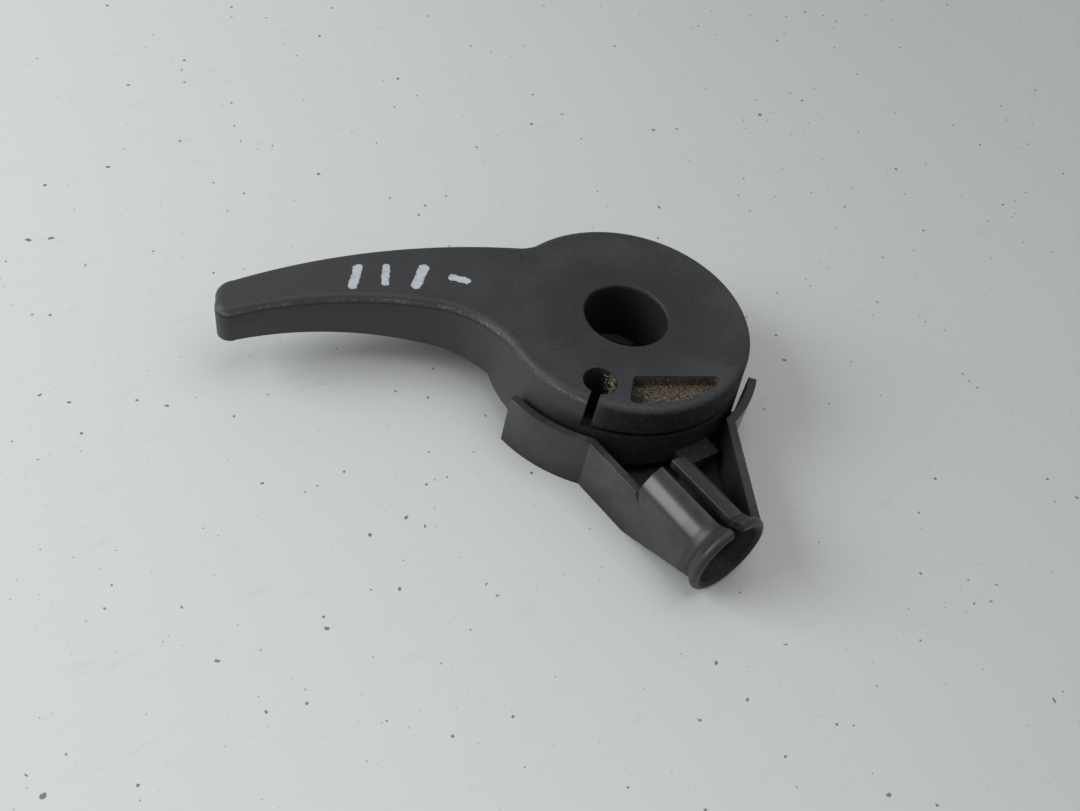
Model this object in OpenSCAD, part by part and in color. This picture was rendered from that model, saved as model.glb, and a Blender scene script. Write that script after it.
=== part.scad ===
// Hood release handle: a pull lever that turns on the hub of a cable bracket.
// Two plastic mouldings. The origin is on the pivot axis at the underside of
// the bracket, +Z is up, and the cable leaves along -Y through a slotted funnel.

/* [Heights] */
// Thickness of the bracket's floor
floor_t = 2.5; // [2:0.1:3]
// Clear height between the bracket's floor and the lever's ring
ring_lift = 3.3; // [2.8:0.1:4]
// Height of the lever's drum, from the ring's lower edge to the top face
drum_h = 17.2; // [16.5:0.1:19]
// Height of the bracket's two side walls
wall_h = 14; // [12.5:0.25:15]

/* [Drum of the lever] */
// Radius of the drum
drum_r = 30; // [29:0.25:31]
// How much wider the drum is at its lower edge
drum_flare = 0.9; // [0:0.1:1]
// Thickness of the flange above the cable groove
flange_t = 7; // [6:0.25:7.5]
// Height of the cable groove
groove_h = 1.5; // [1.2:0.1:2]
// Radius of the floor of the cable groove
groove_r = 22; // [21:0.25:23]
// Angle that the cable groove spans, from the slot round the free side
groove_span = 262; // [200:2:270]
// Rounding of the lever's top edge
edge_r = 1.8; // [1:0.1:2.2]
// Radius of the open bore in the top face
bore_r = 10; // [9.5:0.1:10.5]
// Rounding of the bore's edge
bore_edge_r = 0.6; // [0.3:0.1:1]

/* [Cable nipple pocket] */
// Radius of the pocket that holds the cable's nipple
nipple_r = 4; // [3.5:0.1:4.3]
// Distance of the pocket from the pivot
nipple_pitch = 23.3; // [22.5:0.1:24]
// Direction of the pocket, seen from the pivot, with the arm along -X
nipple_a = -112.7; // [-118:0.5:-108]
// Width of the slot from the pocket to the rim
slot_w = 2.2; // [1.8:0.1:2.6]
// Plastic left under the pocket
nipple_floor = 2; // [1.5:0.25:3]

/* [Recess in the top face] */
// Distance of the recess's straight side from the pivot
recess_near = 19.5; // [18.5:0.25:20.5]
// Radius of the recess's outer side
recess_far = 27.6; // [26.5:0.1:27.8]
// Direction of the recess, seen from the pivot
recess_a = -86.4; // [-90:0.5:-84]
// Slant of the recess's end beside the slot
recess_end_a = -105; // [-110:1:-100]
// Distance from the recess's middle line to its end beside the slot
recess_end = 2.4; // [1.6:0.2:3.2]
// Depth of the recess
recess_d = 3; // [2:0.25:3.5]
// Rounding of the recess's corners
recess_r = 1.1; // [0.6:0.1:1.4]

/* [Arm of the lever] */
// Distance from the pivot to the end of the arm
arm_reach = 92.9; // [85:0.5:100]
// Radius of the arm's back edge
back_r = 142.6; // [130:1:155]
// Crest of the back edge, along the arm
back_x = -21.5; // [-24:0.5:-19]
// Crest of the back edge, across the arm
back_y = 21.8; // [20.5:0.1:22.5]
// Radius of the grip edge that the fingers pull
grip_r = 81.2; // [77:0.5:86]
// Crest of the grip edge, along the arm
grip_x = -55.7; // [-58:0.5:-53]
// Crest of the grip edge, across the arm
grip_y = 0.8; // [-0.5:0.1:1.5]
// Radius where the grip edge sweeps into the drum
root_r = 23.8; // [21:0.25:26]
// Radius where the back edge meets the drum
nape_r = 11; // [8:0.5:13]
// Corner radius of the arm's end on the back edge
end_back_r = 5; // [4:0.1:5.2]
// Corner radius of the arm's end on the grip edge
end_grip_r = 3.2; // [2.6:0.1:3.8]
// Thickness of the arm at its end
end_t = 9.4; // [8.4:0.2:11]
// Rise of the arm's underside above the ring's lower edge, at the drum
root_lift = 1; // [0.5:0.1:1.5]
// Draft of the sides of the arm, degrees
draft_a = 3.5; // [1:0.5:4]
// How far the underside rises above a straight line at mid arm
belly = 0.5; // [0:0.1:1]

/* [Coring under the lever] */
// Wall round the arm's cored underside
arm_wall = 2.4; // [2.1:0.1:2.8]
// Skin over the arm's cored underside
arm_skin = 2.6; // [2.2:0.1:3.2]
// Skin of the drum, down to the roof of its inner core
drum_skin = 5.5; // [5:0.25:6]
// Wall between the drum's inner core and the cable groove
core_wall = 2.5; // [2:0.1:3]
// Shelf between the cable groove and the outer core
shelf_t = 2; // [1.6:0.1:2.5]
// Wall of the drum's lower ring
ring_wall = 2; // [1.6:0.1:2.4]
// Wall of the lever's hub
hub_wall = 2.5; // [2:0.1:3]
// Thickness of the ribs
rib_t = 1.6; // [1.2:0.1:2]
// Number of ribs under the drum
drum_ribs = 12; // [10:1:14]
// Number of ribs under the arm
arm_ribs = 7; // [5:1:8]

/* [Travel stop lug] */
// Direction of the lug, seen from the pivot
lug_a = -61.7; // [-63:0.25:-61]
// Width of the lug
lug_w = 9.6; // [8:0.2:9.8]
// How far the lug stands out past the drum
lug_out = 5.2; // [4.5:0.1:5.4]
// Height of the lug
lug_h = 3.2; // [2.5:0.1:5]

/* [Pivot] */
// Radius of the bearing bore in the lever
pivot_r = 8; // [7.5:0.1:8.5]
// Radial clearance between the hub and the bearing bore
pivot_gap = 0.05; // [0.03:0.01:0.08]
// Length of the bearing bore
pivot_l = 3.6; // [3.2:0.1:5]
// Axial play of the lever on the hub
axial_gap = 0.3; // [0.2:0.05:0.4]
// Inner radius of the hub, where the screw head sits
hub_in_r = 5.6; // [5.3:0.1:5.9]
// How far the snap barbs stand out over the bearing's edge
barb_out = 1; // [0.6:0.1:1.3]
// Height of the snap barbs
barb_h = 2; // [1.6:0.1:2.6]
// Width of the slits between the snap fingers
slit_w = 2; // [1.5:0.1:2.5]
// Number of snap fingers
fingers = 4; // [3:1:6]
// Radius of the screw hole
screw_r = 3.3; // [2.7:0.1:3.6]
// Thickness of plastic under the screw head
seat_t = 3.5; // [3.2:0.1:4.5]

/* [Walls of the bracket] */
// Radius of the floor under the drum
floor_r = 27.5; // [26:0.25:28.5]
// Gap between the lever's ring and the bracket's walls
wall_gap = 1.1; // [0.9:0.1:1.5]
// Thickness of the walls
wall_t = 2; // [1.8:0.1:2.3]
// Where the wall beside the funnel starts
left_start = -177.5; // [-178:0.5:-168]
// Where the other wall starts
right_start = -50.5; // [-54:0.5:-44]
// Direction that the other wall's straight part faces
right_face_a = -33.1; // [-34:0.1:-32.5]
// Distance of that straight part's outer face from the pivot
right_face = 24.3; // [24.1:0.1:24.8]

/* [Cable funnel] */
// Distance of the funnel's axis from the pivot
funnel_x = 18.25; // [17.5:0.05:18.6]
// Outer radius of the funnel's tube
tube_r = 8.45; // [8.2:0.05:8.8]
// Height of the funnel's axis
funnel_z = 10.8; // [10.6:0.05:11.2]
// Radius of the bore for the cable's sheath
sheath_r = 6.5; // [6.2:0.1:6.7]
// Distance of the funnel's back end from the pivot
funnel_back = 36.5; // [36.3:0.1:38]
// Length of the funnel
funnel_l = 22.3; // [21:0.1:24]
// Outer radius of the funnel's rim
rim_r = 10.2; // [9.9:0.1:10.6]
// Rounding of the rim's lip
lip_r = 1.2; // [1:0.1:1.4]
// Radius of the sweep from the tube to the rim
flare_r = 5; // [3:0.25:6]
// Depth of the mouth
mouth_d = 4; // [3:0.25:5]
// Width of the slot along the funnel
funnel_slot = 2.8; // [2.2:0.1:3.2]
// How far the middle of the slot lies outside the funnel's axis
slot_off = 0.9; // [0:0.1:1.2]
// Height of the side plate's lower edge at the rim
plate_rise = 7.2; // [5:0.2:8]
// Distance from the rim back to the foot of the other wall
foot_back = 12; // [8:0.5:14]

/* [Hidden] */
$fn = 96;
// Turn from the lever's own frame, with the arm along -X, to its rest place
rest_turn = -33.13;
// Length by which cutting tools reach past what they cut
over = 1;
lap = 0.1;
z_ring = floor_t + ring_lift;
z_top = z_ring + drum_h;
z_flange = z_top - flange_t;
z_groove = z_flange - groove_h;
z_hub = floor_t + axial_gap;
z_ledge = z_hub + pivot_l;
ring_r = drum_r + drum_flare;
wall_in = ring_r + wall_gap;
wall_out = wall_in + wall_t;
hub_r = pivot_r - pivot_gap;
z_barb = z_ledge + axial_gap / 2;
lip_c = [rim_r - lip_r, funnel_l - lip_r];
left_in = funnel_x + tube_r - wall_t;
right_in = right_face - wall_t;
flare_c = [tube_r + flare_r,
    lip_c.y - sqrt(pow(flare_r + lip_r, 2) - pow(tube_r + flare_r - lip_c.x, 2))];

function polar(r, a) = [r * cos(a), r * sin(a)];
function unit(v) = v / norm(v);
function angle_of(v) = atan2(v.y, v.x);
// Crossing of two circles that lies left of the line from centre p to centre q
function meet(p, rp, q, rq) =
    let (d = norm(q - p), along = (d * d + rp * rp - rq * rq) / (2 * d))
    let (aside = sqrt(rp * rp - along * along), u = unit(q - p))
    p + along * u + aside * [-u.y, u.x];

// Centres of the arcs that bound the arm: each crosses its neighbours by lap
back_c = [back_x, back_y - back_r];
grip_c = [grip_x, grip_y - grip_r];
root_c = meet(grip_c, grip_r + lap - root_r, [0, 0], drum_r - lap + root_r);
nape_c = meet(back_c, back_r - lap + nape_r, [0, 0], drum_r - lap + nape_r);
end_back_x = end_back_r - arm_reach;
end_grip_x = end_grip_r - arm_reach;
end_back_c = [end_back_x,
    back_c.y + sqrt(pow(back_r + lap - end_back_r, 2) - pow(end_back_x - back_c.x, 2))];
end_grip_c = [end_grip_x,
    grip_c.y + sqrt(pow(grip_r - lap + end_grip_r, 2) - pow(end_grip_x - grip_c.x, 2))];

// Where the right wall meets the rim, and how far along the wall's straight part that is
rim_side = [lip_c.x - funnel_x, -funnel_back - lip_c.y];
right_end = norm(rim_side) * sin(right_face_a - angle_of(rim_side));

// From the edge of the top to the centre of its round, which crosses the draft by a hair
round_in = edge_r * (1 + sin(draft_a)) / cos(draft_a) - 0.01;
function draft(h) = h * tan(draft_a);

module corner(e) {
    difference() {
        square(e + over);
        circle(e);
    }
}

// Profile of a block of the arm inside an arc of radius r, drafted, its top edge rounded
module block_profile(r) {
    difference() {
        polygon([
            [0, z_ring],
            [r - draft(drum_h), z_ring],
            [r, z_top],
            [0, z_top],
        ]);
        translate([r - round_in, z_top - edge_r])
            corner(edge_r);
    }
}

// Profile of what is cut out of the arm inside an arc of radius r, to leave the
// same draft and round outside it
module hollow_profile(r) {
    difference() {
        polygon([
            [0, z_ring - over],
            [r + draft(drum_h + over), z_ring - over],
            [r + draft(edge_r), z_top - edge_r],
            [r + round_in, z_top - edge_r],
            [r + round_in, z_top + over],
            [0, z_top + over],
        ]);
        translate([r + round_in, z_top - edge_r])
            circle(edge_r);
    }
}

// The curved grip between its two arcs, from the corners of its end into the drum
module blade() {
    reach_past = 40;
    difference() {
        intersection() {
            translate(back_c)
                rotate_extrude($fn = 360)
                    block_profile(back_r);
            translate([0, 0, z_ring - over])
                linear_extrude(drum_h + 2 * over)
                    polygon([
                        end_back_c + reach_past * unit(end_back_c - back_c),
                        end_back_c,
                        end_grip_c,
                        end_grip_c + reach_past * unit(grip_c - end_grip_c),
                        [-drum_r / 2, -reach_past],
                        [-drum_r / 2, reach_past],
                    ]);
        }
        translate(grip_c)
            rotate_extrude($fn = 360)
                hollow_profile(grip_r);
    }
}

// The blunt end of the grip with its two corners
module blade_end() {
    translate(end_back_c)
        rotate_extrude()
            block_profile(end_back_r);
    translate(end_grip_c)
        rotate_extrude()
            block_profile(end_grip_r);
    translate([end_back_c.x, end_back_c.y, 0])
        rotate([90, 0, 0])
            linear_extrude(end_back_c.y - end_grip_c.y)
                mirror([1, 0])
                    block_profile(end_back_r - lap);
}

// Sweep between the grip and the drum, round an arc outside both
module sweep_in(c, r, grip_side) {
    inside = r + 3 * edge_r;
    difference() {
        translate([0, 0, z_ring])
            linear_extrude(drum_h)
                polygon([c, c + inside * unit(grip_side), [-drum_r / 2, 0], [0, 0]]);
        translate(c)
            rotate_extrude()
                hollow_profile(r);
    }
}

// Underside of the arm at a share s of the way from the drum to the end
function under_z(s) =
    z_ring + root_lift * (1 - s) + (drum_h - end_t) * s + 4 * belly * s * (1 - s);
function under_x(s) = -drum_r - (arm_reach - drum_r) * s;

module arm_underside() {
    half_w = 60;
    translate([0, half_w, 0])
        rotate([90, 0, 0])
            linear_extrude(2 * half_w)
                polygon(concat(
                    [for (s = [0 : 0.125 : 1.125]) [under_x(s), under_z(s)]],
                    [[under_x(1.125), z_ring - over], [0, z_ring - over], [0, z_ring + root_lift]]
                ));
}

module arm() {
    difference() {
        union() {
            blade();
            blade_end();
            sweep_in(root_c, root_r, root_c - grip_c);
            sweep_in(nape_c, nape_r, back_c - nape_c);
        }
        arm_underside();
    }
}

module drum() {
    rotate_extrude()
        difference() {
            polygon([
                [0, z_ring],
                [ring_r, z_ring],
                [drum_r, z_top - edge_r],
                [drum_r, z_top],
                [0, z_top],
            ]);
            translate([drum_r - edge_r, z_top - edge_r])
                corner(edge_r);
        }
    // Hub of the lever, down to the bracket's floor
    translate([0, 0, z_hub])
        cylinder(r = bore_r + hub_wall, h = z_ring - z_hub + over);
}

module stop_lug() {
    rotate([0, 0, lug_a])
        translate([drum_r - over, -lug_w / 2, z_ring])
            cube([lug_out + over, lug_w, lug_h]);
}

module nipple_pocket() {
    rotate([0, 0, nipple_a]) {
        translate([nipple_pitch, 0, z_ring + nipple_floor])
            cylinder(r = nipple_r, h = drum_h);
        translate([nipple_pitch, -slot_w / 2, z_groove])
            cube([drum_r, slot_w, drum_h]);
    }
}

module cable_groove() {
    rotate([0, 0, nipple_a])
        rotate_extrude(angle = groove_span)
            translate([groove_r, z_groove])
                square([drum_r, groove_h]);
}

module recess() {
    size = 2 * drum_r;
    translate([0, 0, z_top - recess_d])
        linear_extrude(recess_d + over)
            offset(recess_r)
                offset(-recess_r)
                    intersection() {
                        circle(recess_far);
                        rotate(recess_a)
                            translate([recess_near, -size / 2])
                                square(size);
                        translate(polar(recess_near, recess_a) - polar(recess_end, recess_a + 90))
                            rotate(recess_end_a)
                                translate([-size / 2, 0])
                                    square(size);
                    }
}

// Hollow under the drum, with its ribs and the pocket's boss left standing
module drum_core() {
    inner_r = bore_r + hub_wall;
    middle_r = groove_r - core_wall;
    outer_r = drum_r - ring_wall;
    difference() {
        rotate_extrude()
            union() {
                translate([inner_r, z_ring - over])
                    square([middle_r - inner_r, drum_h - drum_skin + over]);
                translate([inner_r, z_ring - over])
                    square([outer_r - inner_r, z_groove - shelf_t - z_ring + over]);
            }
        for (i = [0 : drum_ribs - 1])
            rotate([0, 0, lug_a + i * 360 / drum_ribs])
                translate([0, -rib_t / 2, z_ring - over - 1])
                    cube([drum_r, rib_t, drum_h]);
        rotate([0, 0, nipple_a])
            translate([nipple_pitch, 0, z_ring - over - 1])
                cylinder(r = nipple_r + core_wall, h = drum_h);
    }
}

// Hollow under the arm, with its slanting ribs left standing
module arm_core() {
    span = arm_reach - drum_r - 3 * arm_wall;
    pitch = span / (arm_ribs + 1);
    lean = 35;
    difference() {
        translate([0, 0, z_ring - over])
            linear_extrude(drum_h - arm_skin + over)
                difference() {
                    intersection() {
                        translate(back_c)
                            circle(back_r - arm_wall, $fn = 360);
                        translate([-drum_r - arm_wall - span, -drum_r])
                            square([span + drum_r, 2 * drum_r]);
                    }
                    translate(grip_c)
                        circle(grip_r + arm_wall, $fn = 360);
                    circle(drum_r + arm_wall / 2);
                }
        for (i = [1 : arm_ribs])
            translate([-drum_r - arm_wall - i * pitch, grip_y, z_ring - over - 1])
                rotate([0, 0, i % 2 == 0 ? lean : -lean])
                    translate([-rib_t / 2, -drum_r])
                        cube([rib_t, 2 * drum_r, drum_h + over]);
    }
}

module release_lever() {
    color("#3a3c3e")
        rotate([0, 0, rest_turn])
            difference() {
                union() {
                    drum();
                    arm();
                    stop_lug();
                }
                translate([0, 0, z_ledge])
                    cylinder(r = bore_r, h = z_top);
                translate([0, 0, -over])
                    cylinder(r = pivot_r, h = z_top);
                rotate_extrude()
                    translate([bore_r + bore_edge_r, z_top - bore_edge_r])
                        mirror([1, 0])
                            corner(bore_edge_r);
                cable_groove();
                nipple_pocket();
                recess();
                drum_core();
                arm_core();
            }
}

// Where the flat part of a wall starts, its inner face that far from the pivot
function flat_from(inner) =
    (sqrt(pow(wall_in, 2) - pow(inner, 2)) + sqrt(pow(wall_out, 2) - pow(inner + wall_t, 2))) / 2;

// The part of a wall that follows the drum, from an angle round to the flat part
module curved_wall(start, inner) {
    far = 2 * wall_out;
    linear_extrude(wall_h)
        intersection() {
            difference() {
                circle(wall_out);
                circle(wall_in);
            }
            polygon([
                polar(inner / cos(start), start),
                polar(far, start),
                [far, -far],
                [inner, -far],
            ]);
        }
}

// The wall beside the funnel, and the plate that carries the tube
module left_wall() {
    mirror([1, 0, 0])
        curved_wall(-180 - left_start, left_in);
    translate([-left_in, 0, 0])
        rotate([90, 0, -90])
            linear_extrude(wall_t)
                polygon([
                    [flat_from(left_in), 0],
                    [funnel_back, 0],
                    [funnel_back + lip_c.y, plate_rise],
                    [funnel_back + lip_c.y, funnel_z],
                    [funnel_back + wall_t, funnel_z],
                    [funnel_back, wall_h],
                    [flat_from(left_in), wall_h],
                ]);
}

// The other wall, which runs in to the rim's far side
module right_wall() {
    rotate([0, 0, right_face_a]) {
        curved_wall(right_start - right_face_a, right_in);
        translate([right_in + wall_t, 0, 0])
            rotate([90, 0, -90])
                linear_extrude(wall_t)
                    polygon([
                        [flat_from(right_in), 0],
                        [right_end - foot_back, 0],
                        [right_end, plate_rise],
                        [right_end, wall_h],
                        [flat_from(right_in), wall_h],
                    ]);
    }
}

// A point under the middle of that wall, so far along its straight part
function under_right(along) = polar(
    norm([right_in + wall_t / 2, along]),
    right_face_a - atan2(along, right_in + wall_t / 2)
);

module floor_plate() {
    short_a = 2;
    linear_extrude(floor_t) {
        circle(floor_r);
        // Out under the walls, a little short of their two ends
        intersection() {
            circle(wall_in + wall_t / 2);
            polygon([
                [0, 0],
                polar(2 * wall_out, left_start + short_a),
                polar(2 * wall_out, -135),
                polar(2 * wall_out, -90),
                polar(2 * wall_out, right_start - short_a),
            ]);
        }
        // Under the funnel and the pocket beside it
        polygon([
            [-left_in - wall_t, -flat_from(left_in)],
            [-left_in - wall_t, -funnel_back],
            [-funnel_x, -funnel_back - plate_rise],
            under_right(right_end - foot_back - wall_t),
            under_right(flat_from(right_in)),
        ]);
    }
}

module funnel_shell() {
    translate([-funnel_x, -funnel_back, funnel_z])
        rotate([90, 0, 0])
            rotate_extrude() {
                square([tube_r, lip_c.y]);
                // Sweep from the tube out to the lip
                difference() {
                    polygon([[0, flare_c.y], flare_c, lip_c, [0, lip_c.y]]);
                    translate(flare_c)
                        circle(flare_r);
                }
                translate(lip_c)
                    circle(lip_r);
            }
}

module funnel_bore() {
    translate([-funnel_x, -funnel_back, funnel_z])
        rotate([90, 0, 0])
            rotate_extrude()
                polygon([
                    [0, -over],
                    [sheath_r, -over],
                    [sheath_r, funnel_l - mouth_d],
                    lip_c - [lip_r, 0],
                    [lip_c.x - lip_r, funnel_l + over],
                    [0, funnel_l + over],
                ]);
    translate([-funnel_x - slot_off - funnel_slot / 2, -funnel_back - funnel_l - over, funnel_z])
        cube([funnel_slot, funnel_l + 2 * over, 2 * rim_r]);
}

// Hub with snap fingers that hold the lever down
module snap_hub() {
    z_hub_top = z_barb + barb_h;
    difference() {
        union() {
            cylinder(r = hub_r, h = z_hub_top - barb_h / 2);
            rotate_extrude()
                polygon([
                    [0, z_barb],
                    [hub_r + barb_out, z_barb],
                    [hub_r + barb_out, z_barb + barb_h / 3],
                    [hub_r, z_hub_top],
                    [0, z_hub_top],
                ]);
        }
        translate([0, 0, seat_t])
            cylinder(r = hub_in_r, h = z_top);
        for (i = [0 : fingers - 1])
            rotate([0, 0, i * 360 / fingers])
                translate([hub_in_r / 2, -slit_w / 2, seat_t])
                    cube([2 * hub_r, slit_w, z_top]);
    }
}

module cable_bracket() {
    color("#434548")
        difference() {
            union() {
                floor_plate();
                left_wall();
                right_wall();
                funnel_shell();
                snap_hub();
            }
            funnel_bore();
            translate([0, 0, -over])
                cylinder(r = screw_r, h = seat_t + 2 * over);
        }
}

release_lever();
cable_bracket();
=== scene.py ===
import math

import bmesh
import bpy
import numpy as np
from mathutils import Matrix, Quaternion, Vector


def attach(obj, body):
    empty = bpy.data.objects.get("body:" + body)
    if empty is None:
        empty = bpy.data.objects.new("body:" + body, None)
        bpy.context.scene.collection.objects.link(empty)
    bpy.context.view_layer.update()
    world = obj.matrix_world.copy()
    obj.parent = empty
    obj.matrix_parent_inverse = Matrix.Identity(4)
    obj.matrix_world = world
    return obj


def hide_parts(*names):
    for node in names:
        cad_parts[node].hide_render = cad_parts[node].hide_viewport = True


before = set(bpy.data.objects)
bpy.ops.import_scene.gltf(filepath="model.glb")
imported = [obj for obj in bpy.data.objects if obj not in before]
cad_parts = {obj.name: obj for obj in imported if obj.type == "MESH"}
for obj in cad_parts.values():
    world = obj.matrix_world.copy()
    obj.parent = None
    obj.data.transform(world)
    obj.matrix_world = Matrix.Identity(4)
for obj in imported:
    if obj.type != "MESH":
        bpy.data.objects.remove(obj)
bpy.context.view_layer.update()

scene = bpy.context.scene
scene.view_settings.view_transform = "Standard"

# The view.
# A hand-held picture from the hollow side of the grip, a little over forty
# degrees up, turned so that the grip lies nearly level across it.
view_from = Vector((-0.17596, -0.13197, 0.22070))
view_at = Vector((-0.02794, -0.00530, 0.01200))
view_roll = math.radians(14.616)
camera = bpy.data.objects.new("camera", bpy.data.cameras.new("camera"))
camera.data.sensor_width = 36.0
camera.data.lens = 42.26
camera.data.clip_start = 0.005
camera.location = view_from
aim = (view_at - view_from).to_track_quat("-Z", "Y")
camera.rotation_mode = "QUATERNION"
camera.rotation_quaternion = aim @ Quaternion((0, 0, 1), view_roll)
scene.collection.objects.link(camera)
scene.camera = camera


class Value:
    """A node's output; an operator on it adds the Math node that does the sum."""

    def __init__(self, shader, socket):
        self.shader, self.socket = shader, socket

    def math(self, operation, other, swap=False):
        terms = {0: other, 1: self} if swap else {0: self, 1: other}
        return self.shader.node("Math", {"operation": operation}, terms)

    def __add__(self, other):
        return self.math("ADD", other)

    def __sub__(self, other):
        return self.math("SUBTRACT", other)

    def __rsub__(self, other):
        return self.math("SUBTRACT", other, swap=True)

    def __mul__(self, other):
        return self.math("MULTIPLY", other)

    def __pow__(self, other):
        return self.math("POWER", other)

    def most(self, other):
        return self.math("MAXIMUM", other)

    def least(self, other):
        return self.math("MINIMUM", other)

    __radd__, __rmul__ = __add__, __mul__

    def between(self, low, high):
        """0 below low and 1 above high, with a smooth step between; high may be the lower one."""
        settings = {"interpolation_type": "SMOOTHSTEP"}
        inputs = {"Value": self, "From Min": low, "From Max": high}
        return self.shader.node("MapRange", settings, inputs)

    def band(self, low, high, soft):
        """1 between low and high, fading out over soft on either side."""
        return self.between(low - soft, low) * self.between(high + soft, high)


class Shader:
    """A material that is being put together on Object coordinates, in metres."""

    def __init__(self, name):
        self.material = bpy.data.materials.new(name)
        self.material.use_nodes = True
        self.tree = self.material.node_tree
        self.tree.nodes.clear()

    def node(self, kind, settings={}, inputs={}, output=0):
        """Adds a node of a kind, sets it up, fills its sockets and gives one output."""
        made = self.tree.nodes.new("ShaderNode" + kind)
        for key, setting in settings.items():
            if key == "stops":
                ramp = made.color_ramp.elements
                while len(ramp) < len(setting):
                    ramp.new(0.5)
                for element, (place, colour) in zip(ramp, setting):
                    element.position = place
                    element.color = (*colour, 1.0)
            else:
                setattr(made, key, setting)
        for key, given in inputs.items():
            if isinstance(given, Value):
                self.tree.links.new(given.socket, made.inputs[key])
            else:
                made.inputs[key].default_value = given
        return Value(self, made.outputs[output])

    def place(self):
        return self.node("TexCoord", output="Object")

    def mix(self, factor, first, second):
        """Blends two colours, given as tuples or sockets."""
        def full(colour):
            return colour if isinstance(colour, Value) else (*colour, 1.0)
        settings = {"data_type": "RGBA"}
        inputs = {0: factor, 6: full(first), 7: full(second)}
        return self.node("Mix", settings, inputs, output=2)

    def noise(self, at, scale, detail=2.0, rough=0.5, output=0, **more):
        inputs = {"Vector": at, "Scale": scale, "Detail": detail, "Roughness": rough}
        inputs.update(more)
        return self.node("TexNoise", {}, inputs, output)

    def stretched(self, at, scale, turn=(0.0, 0.0, 0.0)):
        """Object coordinates scaled along each axis, to draw a pattern out."""
        return self.node("Mapping", {}, {"Vector": at, "Scale": scale, "Rotation": turn})

    def finish(self, **sockets):
        """Ends in a Principled shader with these sockets, and gives the material."""
        inputs = {}
        for key, given in sockets.items():
            inputs[key.replace("_", " ")] = given
        surface = self.node("BsdfPrincipled", {}, inputs)
        end = self.tree.nodes.new("ShaderNodeOutputMaterial")
        self.tree.links.new(surface.socket, end.inputs["Surface"])
        return self.material


# The table top and the light.
# A pale painted table, its colour painted brighter towards the lower left of the picture as painted light, in the
# even light of a room with a lamp overhead and a window to the left.
table = Shader("pale_table")
spot = table.place()
# Painted light: the colour runs brighter towards the lower left of the picture.
across = table.node("VectorMath", {"operation": "DOT_PRODUCT"}, {0: spot, 1: (0.95, -0.45, 0.0)}, 1)
cloud = table.noise(spot, 14.0, 5.0, 0.6)
scuff = table.noise(table.stretched(spot, (60.0, 260.0, 1.0), (0, 0, 0.7)), 1.0, 4.0, 0.7)
shade = across.between(-0.20, 0.20) + 0.16 * (cloud - 0.5)
tone = table.mix(shade, (0.630, 0.650, 0.625), (0.480, 0.500, 0.485))
speck = table.noise(spot, 420.0, 1.0, 0.4).between(0.750, 0.78)
speck = speck.most(0.6 * table.noise(spot, 1100.0, 2.0, 0.5).between(0.71, 0.75))
tone = table.mix(scuff.between(0.57, 0.72) * 0.10, tone, (0.30, 0.30, 0.28))
tone = table.mix(speck * 0.8, tone, (0.08, 0.07, 0.06))
table_top = table.finish(Base_Color=tone, Roughness=0.34 + 0.12 * cloud)
side = 3.0
sheet = bpy.data.meshes.new("table_top")
sheet.from_pydata(
    [(-side, -side, 0), (side, -side, 0), (side, side, 0), (-side, side, 0)],
    [], [(0, 1, 2, 3)],
)
sheet.materials.append(table_top)
floor = bpy.data.objects.new("table_top", sheet)
scene.collection.objects.link(floor)

sky = bpy.data.worlds.new("room")
sky.use_nodes = True
sky.node_tree.nodes["Background"].inputs["Color"].default_value = (0.97, 0.985, 1.0, 1.0)
sky.node_tree.nodes["Background"].inputs["Strength"].default_value = 0.37
scene.world = sky


def soft_lamp(name, towards, distance, size, watts, colour):
    """A square lamp of that size, at a distance in a direction, facing the middle of the part."""
    middle = Vector((-0.022, 0.0, 0.010))
    lamp = bpy.data.lights.new(name, "AREA")
    lamp.shape, lamp.size, lamp.energy, lamp.color = "SQUARE", size, watts, colour
    made = bpy.data.objects.new(name, lamp)
    made.location = middle + Vector(towards).normalized() * distance
    made.rotation_mode = "QUATERNION"
    made.rotation_quaternion = (middle - made.location).to_track_quat("-Z", "Y")
    scene.collection.objects.link(made)


soft_lamp("overhead", (0.12, -0.12, 1.0), 1.2, 1.0, 4.5, (1.0, 0.99, 0.97))
soft_lamp("window", (-0.731, 0.444, 0.518), 1.0, 0.62, 7.9, (0.97, 0.99, 1.0))


# The lever.
# One moulding in charcoal polypropylene: a curved grip that runs into a cable drum, cored out underneath. It has a
# fine spark-eroded grain, pale flecks of wear where fingers pull on the edge of the grip, and dust in its hollows; a
# highlight on that edge and shade in its hollows are painted into its colour.
def moulding(node, body, material, sharp_deg=32.0):
    """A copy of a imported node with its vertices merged, so that light runs smoothly over
    its rounds, and each flat face keeps its own direction."""
    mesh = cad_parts[node].data.copy()
    shape = bmesh.new()
    shape.from_mesh(mesh)
    bmesh.ops.remove_doubles(shape, verts=shape.verts, dist=2e-6)
    bmesh.ops.dissolve_degenerate(shape, dist=1e-6, edges=shape.edges)
    for face in shape.faces:
        face.smooth = True
    for edge in shape.edges:
        edge.smooth = edge.is_manifold and edge.calc_face_angle(0) < math.radians(sharp_deg)
    shape.to_mesh(mesh)
    shape.free()
    mesh.attributes.remove(mesh.attributes["custom_normal"])
    mesh.materials.clear()
    mesh.materials.append(material)
    piece = bpy.data.objects.new(node + "_moulding", mesh)
    scene.collection.objects.link(piece)
    weigh = piece.modifiers.new("weigh", "WEIGHTED_NORMAL")
    weigh.keep_sharp = True
    weigh.weight = 100
    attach(piece, body)
    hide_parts(node)
    return piece


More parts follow.
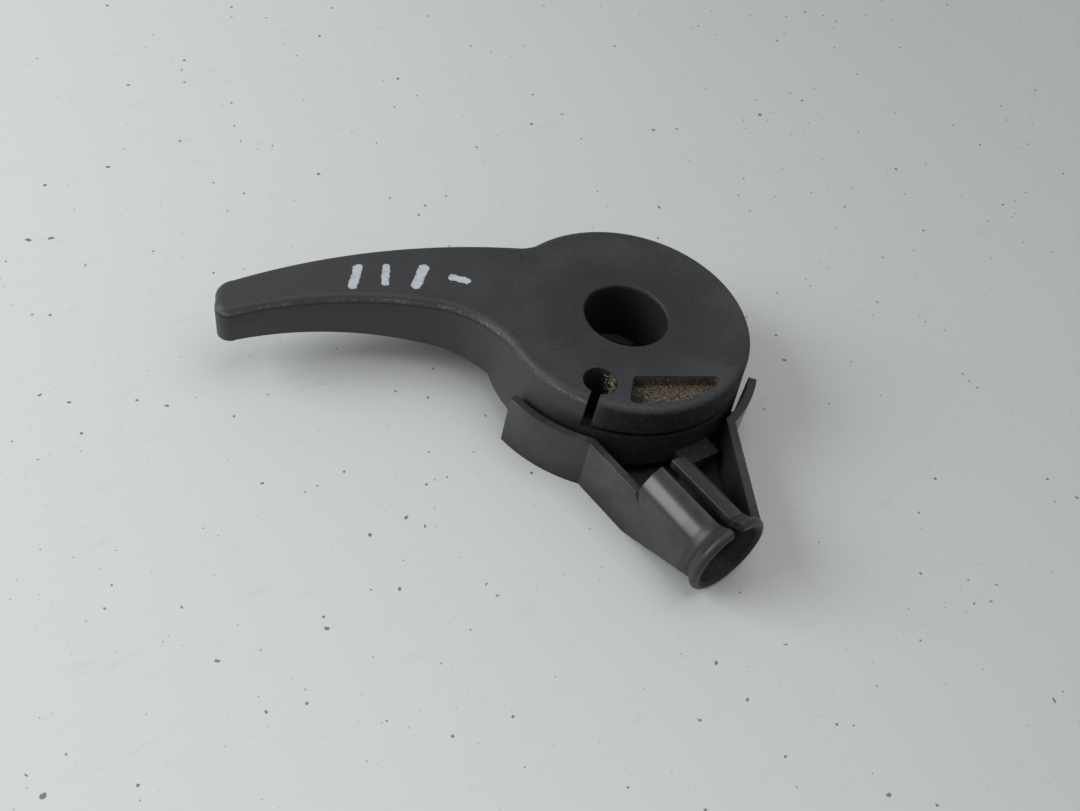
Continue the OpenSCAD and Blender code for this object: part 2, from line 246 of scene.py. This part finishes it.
z_top = 0.023
grain = Shader("grained_charcoal")
at = grain.place()
x = grain.node("SeparateXYZ", {}, {0: at}, 0)
y = grain.node("SeparateXYZ", {}, {0: at}, 1)
z = grain.node("SeparateXYZ", {}, {0: at}, 2)
facing = grain.node("TexCoord", output="Normal")
up = grain.node("SeparateXYZ", {}, {0: facing}, 2)
pebble = grain.noise(at, 2300.0, 3.0, 0.65)
smear = grain.noise(at, 70.0, 5.0, 0.65)
streak = grain.noise(grain.stretched(at, (300.0, 60.0, 60.0), (0, 0, 0.58)), 1.0, 4.0, 0.6)
along_arm = x * -0.8375 + y * 0.5465
# Painted light: the top of the arm grows lighter towards its tip.
tip_painted_light = along_arm.between(0.015, 0.085)
mottle = 0.45 * smear.between(0.30, 0.70) + 0.55 * pebble.between(0.38, 0.62)
plastic = grain.mix(mottle, (0.0150, 0.0155, 0.0170), (0.0440, 0.0448, 0.0472))
streaky = grain.noise(grain.stretched(at, (170.0, 170.0, 25.0)), 1.0, 4.0, 0.65)
flank = up.band(-0.30, 0.12, 0.15) * (0.45 + streaky)
# Painted light: side faces are painted lighter and warmer than the top, in streaks.
plastic = grain.mix(flank * 0.55, plastic, (0.0590, 0.0560, 0.0535))
colour = grain.mix(tip_painted_light * 0.6, plastic, (0.046, 0.046, 0.047))
scratch = streak.between(0.63, 0.70) * smear.between(0.45, 0.65) * up.between(0.9, 0.98)
colour = grain.mix(scratch * 0.30, colour, (0.075, 0.077, 0.078))
# The round of the top edge is painted pale in flecks, partly wear from fingers and partly a painted highlight, and
# the line and the sides under it are painted dark as shade
front_left_patch = x.between(-0.0255, -0.0225) * y.between(-0.006, -0.018)
fleck = grain.noise(at, 1700.0, 3.0, 0.7).between(0.50, 0.60)
patch = grain.noise(at, 190.0, 3.0, 0.6).between(0.40, 0.60)
rim = up.band(0.22, 0.52, 0.12) * z.between(z_top - 0.0021, z_top - 0.0014)
wear_and_highlight = rim * (0.25 + 0.75 * fleck) * (0.25 + 0.75 * patch) * (1 - 0.75 * front_left_patch)
colour = grain.mix(wear_and_highlight * 0.8, colour, (0.150, 0.150, 0.147))
# Painted shade: a dark line under the round of the edge, and dark blotches on the arm's sides below it.
painted_crease_shade = z.band(z_top - 0.00215, z_top - 0.00185, 0.00015) * along_arm.between(0.024, 0.034)
colour = grain.mix(painted_crease_shade * 0.75, colour, (0.006, 0.006, 0.006))
shade_under_edge = z.between(z_top - 0.0070, z_top - 0.0022) * along_arm.between(0.030, 0.055) * flank
colour = grain.mix(shade_under_edge * smear.between(0.25, 0.60) * 0.40, colour, (0.012, 0.011, 0.010))
# The drum's side, where the cable runs, is painted near black in a band below the top edge and along the top edge
# near the front left, with brown grit flecks over it
low = z.between(z_top - 0.0003, z_top - 0.0013) * front_left_patch
low = low.most(z.between(z_top - 0.0040, z_top - 0.0080) * y.between(-0.004, -0.018))
grit = grain.noise(at, 1300.0, 4.0, 0.75)
colour = grain.mix(low * (0.75 + 0.25 * smear), colour, (0.0040, 0.0036, 0.0032))
colour = grain.mix(low * grit.between(0.54, 0.64) * 0.7, colour, (0.058, 0.041, 0.026))
# Brown dust that has settled in the recess, thickest under its far wall
outward = x * -0.4929 + y * -0.8701
sideways = x * 0.8701 + y * -0.4929
sunk = z.band(z_top - 0.0032, z_top - 0.0004, 0.0001) * outward.between(0.0192, 0.0194)
radius = (x * x + y * y) ** 0.5
sunk = sunk * radius.between(0.0279, 0.0277) * sideways.between(-0.0062, -0.0058)
mote = grain.noise(at, 1500.0, 4.0, 0.8)
drift = grain.noise(at, 230.0, 3.0, 0.6) + 0.30 * sideways.between(-0.004, 0.004)
dust = sunk * mote.between(0.42, 0.60) * drift.between(0.50, 0.72) * outward.between(0.0272, 0.0232)
colour = grain.mix(sunk * 0.6, colour, (0.022, 0.018, 0.015))
colour = grain.mix(dust * 0.95, colour, (0.145, 0.118, 0.090))
far_wall = sunk * outward.between(0.0222, 0.0196) * sideways.between(-0.004, 0.004)
colour = grain.mix(far_wall * mote.between(0.42, 0.60) * 0.75, colour, (0.100, 0.058, 0.030))
grains = grit.between(0.58, 0.66) * drift.between(0.45, 0.65)
colour = grain.mix(sunk * grains * 0.8, colour, (0.34, 0.28, 0.20))
# Deep places and the inside of the bore are painted near black as shade, and the top round the bore is painted a
# little darker, as painted shade
open_sky = grain.node("AmbientOcclusion", {"samples": 6}, {"Distance": 0.012}, output="AO")
in_bore = radius.between(0.0104, 0.0101) * z.between(z_top - 0.0004, z_top - 0.0016)
painted_shade = (1 - open_sky).between(0.45, 0.85).most(in_bore) * (1 - sunk)
colour = grain.mix(painted_shade * 0.92, colour, (0.0035, 0.0033, 0.0032))
colour = grain.mix(radius.between(0.0250, 0.0130) * (1 - painted_shade) * (1 - sunk) * 0.38, colour, (0.0080, 0.0080, 0.0082))


def dab(start, end, wide):
    """1 within half of wide of the line from start to end, seen from above, with a ragged
    edge: the distance to the nearest point of the line, from its share of the way along."""
    run = (end[0] - start[0], end[1] - start[1])
    length2 = run[0] ** 2 + run[1] ** 2
    from_x, from_y = x - start[0], y - start[1]
    share = from_x * (run[0] / length2) + from_y * (run[1] / length2)
    share = share.most(0.0).least(1.0)
    off_x, off_y = from_x - share * run[0], from_y - share * run[1]
    away = (off_x * off_x + off_y * off_y) ** 0.5
    return (away + 0.0014 * (ragged - 0.5)).between(wide / 2 + 0.00012, wide / 2 - 0.00012)


ragged = grain.noise(at, 650.0, 4.0, 0.6)
paint = dab((-0.0506, 0.0378), (-0.0462, 0.0424), 0.0021)
for start, end, wide in (
    ((-0.0436, 0.0352), (-0.0404, 0.0396), 0.0018),
    ((-0.0378, 0.0312), (-0.0328, 0.0352), 0.0023),
    ((-0.0288, 0.0294), (-0.0266, 0.0270), 0.0020),
):
    paint = paint.most(dab(start, end, wide))
paint = paint * z.between(z_top - 0.0002, z_top - 0.0001)
cover = grain.noise(at, 800.0, 3.0, 0.7).between(0.28, 0.50)
colour = grain.mix(paint * (0.55 + 0.45 * cover), colour, (0.44, 0.48, 0.52))
bevelled = grain.node("Bevel", {"samples": 4}, {"Radius": 0.00025})
height = pebble + 0.5 * paint
bump = grain.node("Bump", {}, {"Strength": 0.60, "Distance": 0.00006, "Height": height, "Normal": bevelled})
lever_plastic = grain.finish(
    Base_Color=colour,
    Specular_IOR_Level=0.35,
    Roughness=0.46 + 0.12 * smear + 0.12 * wear_and_highlight + 0.30 * dust + 0.28 * painted_shade.most(low) - 0.10 * paint,
    Normal=bump,
)
lever = moulding("release_lever", "lever", lever_plastic)


# Lint in the nipple pocket.
# Curly pale fibres, caught on the side of the pocket that the cable doesn't rub clean; the crumbs of dried grease
# there are left out. They cling to the wall by themselves.
def fibres(centre, wall_r, depth, facing_a, spread_a, count, thick, seed):
    """Thin three-sided threads on the wall of a round pocket. A thread's middle line starts
    close to the wall, at an angle round the one it faces, and curls away as the running sum
    of steps whose direction turns a little at each step. It is pushed back inside the wall,
    and each point of it carries a ring of three vertices."""
    rng = np.random.default_rng(seed)
    steps, sides = 12, 3
    angle = facing_a + spread_a * rng.normal(0, 0.5, count)
    reach = wall_r * rng.uniform(0.82, 1.0, count)
    start = np.stack([reach * np.cos(angle), reach * np.sin(angle), rng.uniform(0, depth, count)], 1)
    turn = np.cumsum(rng.normal(0, 0.55, (count, steps)), 1) + rng.uniform(0, 6.3, (count, 1))
    rise = np.cumsum(rng.normal(0, 0.25, (count, steps)), 1)
    stride = rng.uniform(0.5, 1.0, (count, 1)) * 0.00018
    walk = np.stack([np.cos(turn) * np.cos(rise), np.sin(turn) * np.cos(rise), np.sin(rise)], 2)
    line = start[:, None, :] + np.cumsum(walk * stride[:, :, None], 1)
    flat = line[:, :, :2]
    far = np.linalg.norm(flat, axis=2, keepdims=True)
    line[:, :, :2] = flat * np.minimum(1, wall_r / far)
    line[:, :, 2] = np.clip(line[:, :, 2], 0, depth)
    across = np.cross(walk, [0.3, 0.5, 0.81])
    across /= np.linalg.norm(across, axis=2, keepdims=True)
    beside = np.cross(walk, across)
    spin = 2 * np.pi * np.arange(sides) / sides
    ring = np.cos(spin)[:, None] * across[:, :, None, :] + np.sin(spin)[:, None] * beside[:, :, None, :]
    points = (np.array(centre) + line[:, :, None, :] + thick * ring).reshape(-1, 3)
    thread, step, side = np.meshgrid(range(count), range(steps - 1), range(sides), indexing="ij")
    here = (thread * steps + step) * sides
    quad = np.stack([
        here + side, here + (side + 1) % sides,
        here + sides + (side + 1) % sides, here + sides + side,
    ], 3).reshape(-1, 4)
    first = np.arange(count)[:, None] * steps * sides
    caps = np.concatenate([first + [2, 1, 0], first + (steps - 1) * sides + [0, 1, 2]])
    return points, quad.tolist() + caps.tolist()


pocket_a = math.radians(-112.7 - 33.13)
pocket = (0.0233 * math.cos(pocket_a), 0.0233 * math.sin(pocket_a))
lint_cloth = Shader("pale_lint")
tint = lint_cloth.noise(lint_cloth.place(), 1400.0, 2.0, 0.5)
lint_cloth = lint_cloth.finish(
    Base_Color=lint_cloth.mix(tint.between(0.35, 0.65), (0.20, 0.17, 0.11), (0.46, 0.43, 0.30)),
    Roughness=0.85,
)
tuft = bpy.data.meshes.new("pocket_lint")
points, faces = fibres((*pocket, 0.0172), 0.00395, 0.0054, -0.15, 0.75, 80, 0.000032, 7)
tuft.from_pydata(points.tolist(), [], faces)
tuft.materials.append(lint_cloth)
lint = bpy.data.objects.new("pocket_lint", tuft)
scene.collection.objects.link(lint)
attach(lint, "lever")


# The bracket.
# One moulding in the same charcoal plastic, but smooth: a floor with a snap hub for
# the lever, walls round the drum, and a slotted funnel for the sheath of the cable.
satin = Shader("satin_charcoal")
at = satin.place()
smear = satin.noise(at, 60.0, 4.0, 0.6)
plastic = satin.mix(smear, (0.0300, 0.0310, 0.0316), (0.0450, 0.0460, 0.0464))
stain = satin.noise(at, 95.0, 6.0, 0.7).between(0.44, 0.64)
plastic = satin.mix(stain * 0.80, plastic, (0.0210, 0.0192, 0.0170))
scuff = satin.noise(satin.stretched(at, (400.0, 90.0, 400.0)), 1.0, 4.0, 0.7).between(0.60, 0.72)
colour = satin.mix(scuff * 0.22, plastic, (0.090, 0.090, 0.088))
open_sky = satin.node("AmbientOcclusion", {"samples": 6}, {"Distance": 0.014}, output="AO")
x = satin.node("SeparateXYZ", {}, {0: at}, 0)
y = satin.node("SeparateXYZ", {}, {0: at}, 1)
z = satin.node("SeparateXYZ", {}, {0: at}, 2)
from_axis = ((x + 0.01825) ** 2 + (z - 0.0108) ** 2) ** 0.5
in_mouth = from_axis.between(0.0084, 0.0078) * y.between(-0.0300, -0.0360)
in_mouth = in_mouth.most(from_axis.between(0.0094, 0.0088) * y.between(-0.0540, -0.0550))
tube = from_axis.band(0.0081, 0.0090, 0.0003) * y.between(-0.0362, -0.0366)
# Painted shade: the hollows, the inside of the mouth, the hub, the flare and the side of the tube right of the slot
# are painted near black, and brown grit lies in the same places.
painted_shade = (1 - open_sky).between(0.30, 0.62)
on_hub = ((x * x + y * y) ** 0.5).between(0.0130, 0.0120)
rough_side = tube * x.between(-0.0185, -0.0165) * 0.45
flare = from_axis.between(0.0080, 0.0084) * y.between(-0.0520, -0.0530) * 0.45
painted_shade = painted_shade.most(in_mouth).most(on_hub).most(rough_side).most(flare)
colour = satin.mix(painted_shade * 0.9, colour, (0.0050, 0.0046, 0.0042))
grit = satin.noise(at, 1100.0, 4.0, 0.75)
brown = painted_shade * grit.between(0.54, 0.64) * satin.noise(at, 120.0, 2.0, 0.5).between(0.42, 0.58)
colour = satin.mix(brown * 0.6, colour, (0.070, 0.046, 0.027))
pebble = satin.noise(at, 1700.0, 3.0, 0.6)
bevelled = satin.node("Bevel", {"samples": 4}, {"Radius": 0.0004})
bump = satin.node("Bump", {}, {"Strength": 0.08, "Distance": 0.00003, "Height": pebble, "Normal": bevelled})
bracket_plastic = satin.finish(
    Base_Color=colour,
    Specular_IOR_Level=0.40,
    Roughness=0.20 + 0.08 * smear + 0.06 * stain - 0.035 * tube + 0.40 * painted_shade,
    Normal=bump,
)
bracket = moulding("cable_bracket", "bracket", bracket_plastic)
